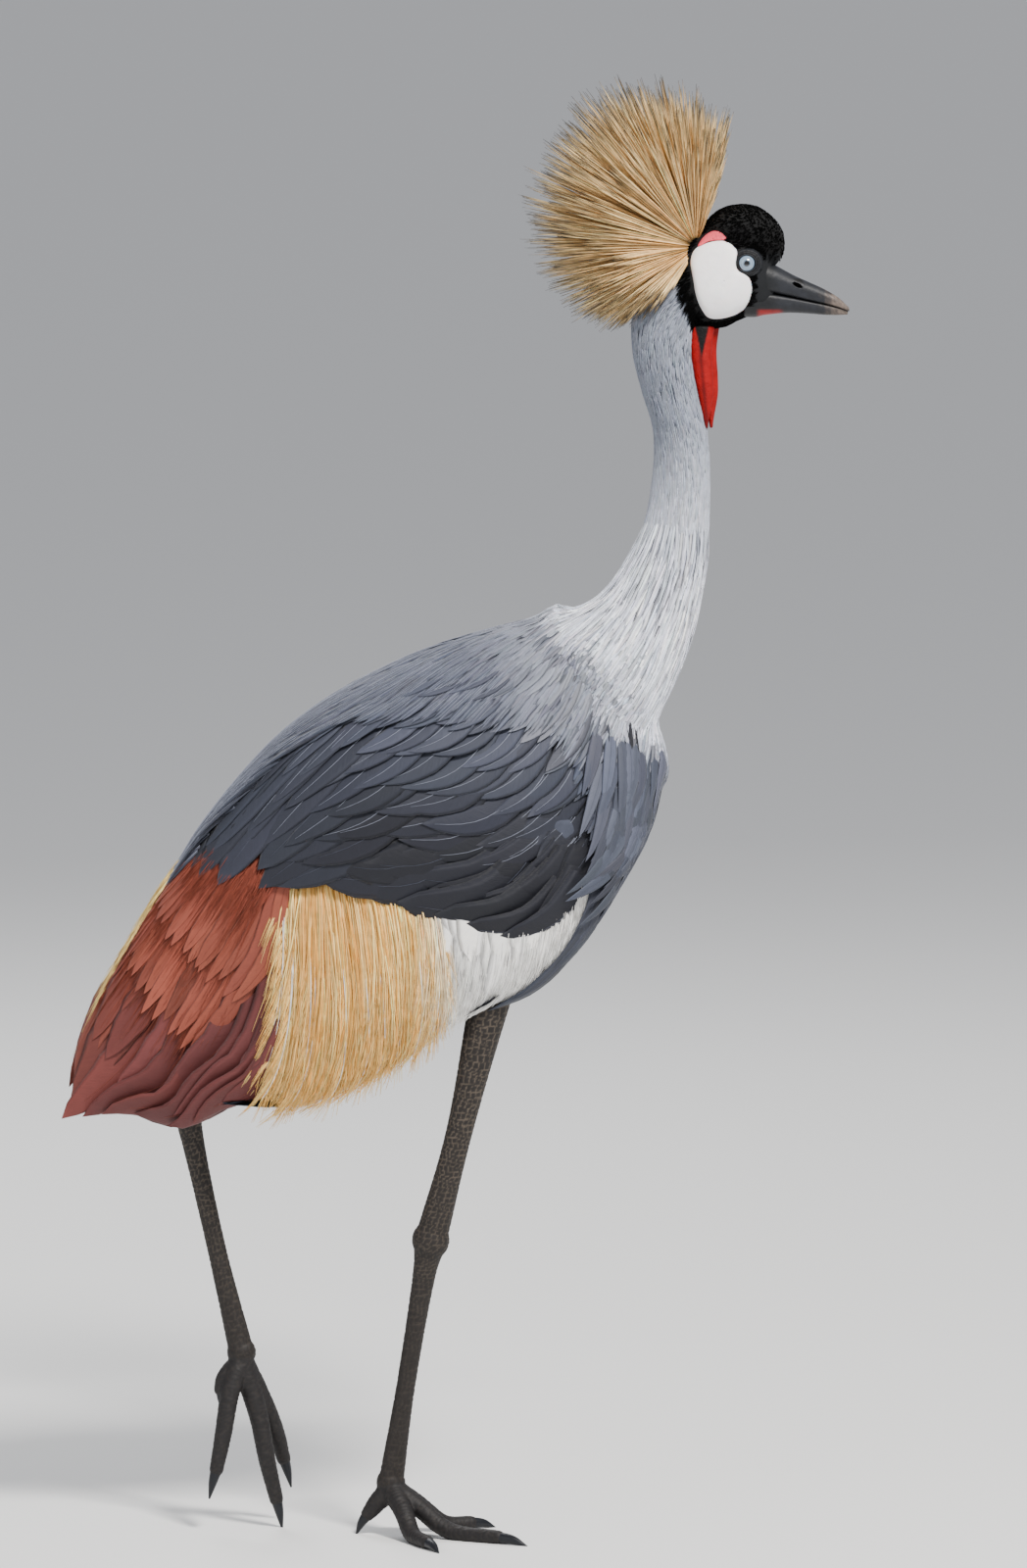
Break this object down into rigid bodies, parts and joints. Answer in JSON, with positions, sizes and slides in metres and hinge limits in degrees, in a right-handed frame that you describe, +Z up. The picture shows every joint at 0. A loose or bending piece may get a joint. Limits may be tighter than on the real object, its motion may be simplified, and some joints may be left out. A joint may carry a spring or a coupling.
{
  "type": "grey crowned crane",
  "caption": "Life-size still model of a walking grey crowned crane: bristle crest, white cheek, red wattle, long neck, folded slate, gold and chestnut wings, long legs.",
  "frame": {"origin": "middle of the underside of the whole bird's bounding box, at the level of the floor that the feet stand on", "axes": "+X the way the bird faces, +Y its left side, +Z up"},
  "size_m": [0.5576, 0.156, 1.0416],
  "materials": {
    "black_feathers": "soft matt velvety black feathers",
    "grey_feathers": "long narrow pale bluish-grey feathers",
    "slate_feathers": "broad slate-grey feathers with a faint sheen",
    "white_feathers": "soft white covert feathers",
    "golden_feathers": "loose straw-gold plumes with pale shafts",
    "chestnut_feathers": "broad chestnut-maroon feathers",
    "crest_bristles": "stiff straw-gold bristle feathers with dark tips",
    "cheek_white": "bare smooth white skin",
    "red_skin": "bare wrinkled scarlet skin",
    "eye": "wet glossy pale blue-grey iris with a black pupil",
    "bill": "slate-grey horn, worn and paler at the tip",
    "leg_scales": "dark brown-grey scaled skin",
    "claw": "blue-black horn"
  },
  "bodies": {
    "root": {"head": "black_feathers", "cap": "black_feathers", "bill_upper": "bill", "bill_lower": "bill", "neck_upper": "grey_feathers", "neck_lower": "grey_feathers", "wattle": "red_skin", "crest": "crest_bristles", "torso": "slate_feathers", "tail": "black_feathers", "eye_R": "eye", "eye_L": "eye", "cheek_R": "cheek_white", "cheek_L": "cheek_white", "cheek_red_R": "red_skin", "cheek_red_L": "red_skin", "wing_R": "slate_feathers", "wing_L": "slate_feathers", "white_coverts_R": "white_feathers", "white_coverts_L": "white_feathers", "golden_plumes_R": "golden_feathers", "golden_plumes_L": "golden_feathers", "secondaries_R": "chestnut_feathers", "secondaries_L": "chestnut_feathers", "tibia_R": "leg_scales", "tibia_L": "leg_scales", "tarsus_R": "leg_scales", "tarsus_L": "leg_scales", "foot_R": "leg_scales", "foot_L": "leg_scales", "claw_inner_R": "claw", "claw_middle_R": "claw", "claw_outer_R": "claw", "claw_hind_R": "claw", "claw_inner_L": "claw", "claw_middle_L": "claw", "claw_outer_L": "claw", "claw_hind_L": "claw"}
  },
  "joints": []
}
